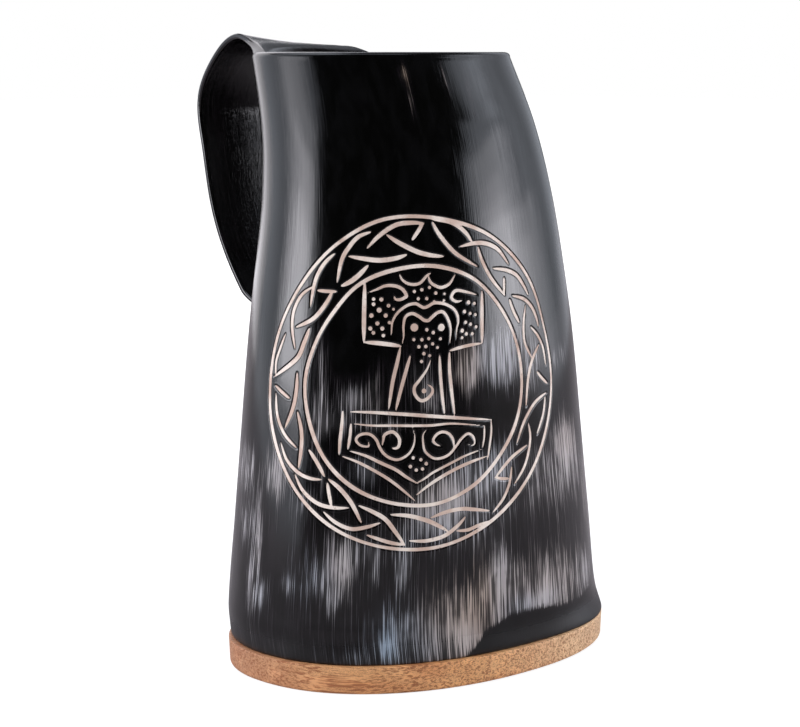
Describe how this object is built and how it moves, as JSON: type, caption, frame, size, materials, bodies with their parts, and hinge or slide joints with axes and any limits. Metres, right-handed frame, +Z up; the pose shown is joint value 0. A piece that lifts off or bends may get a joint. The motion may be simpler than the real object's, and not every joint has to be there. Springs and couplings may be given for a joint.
{
  "type": "horn drinking cup",
  "caption": "Tall oval drinking cup of dark polished horn on a wooden base, with a strap of the same horn bent over from the rim as its handle and a carved, filled roundel on its side.",
  "frame": {"origin": "middle of the wooden base's underside, where the cup stands", "axes": "+Z up to the rim, -X to the handle, Y along the long way of the oval"},
  "size_m": [0.1166, 0.1172, 0.1704],
  "materials": {
    "horn": "polished dark horn with pale fibre streaks",
    "wood": "oiled, open grain",
    "engraving": "pale filler in carved grooves",
    "resin": "clear brown casting resin",
    "glue": "set glue",
    "peg_horn": "polished brown horn"
  },
  "bodies": {
    "root": {"horn_cup": "horn", "handle_strap": "horn", "wood_base": "wood", "base_resin": "resin", "strap_glue": "glue", "handle_pegs": "peg_horn"}
  },
  "joints": []
}
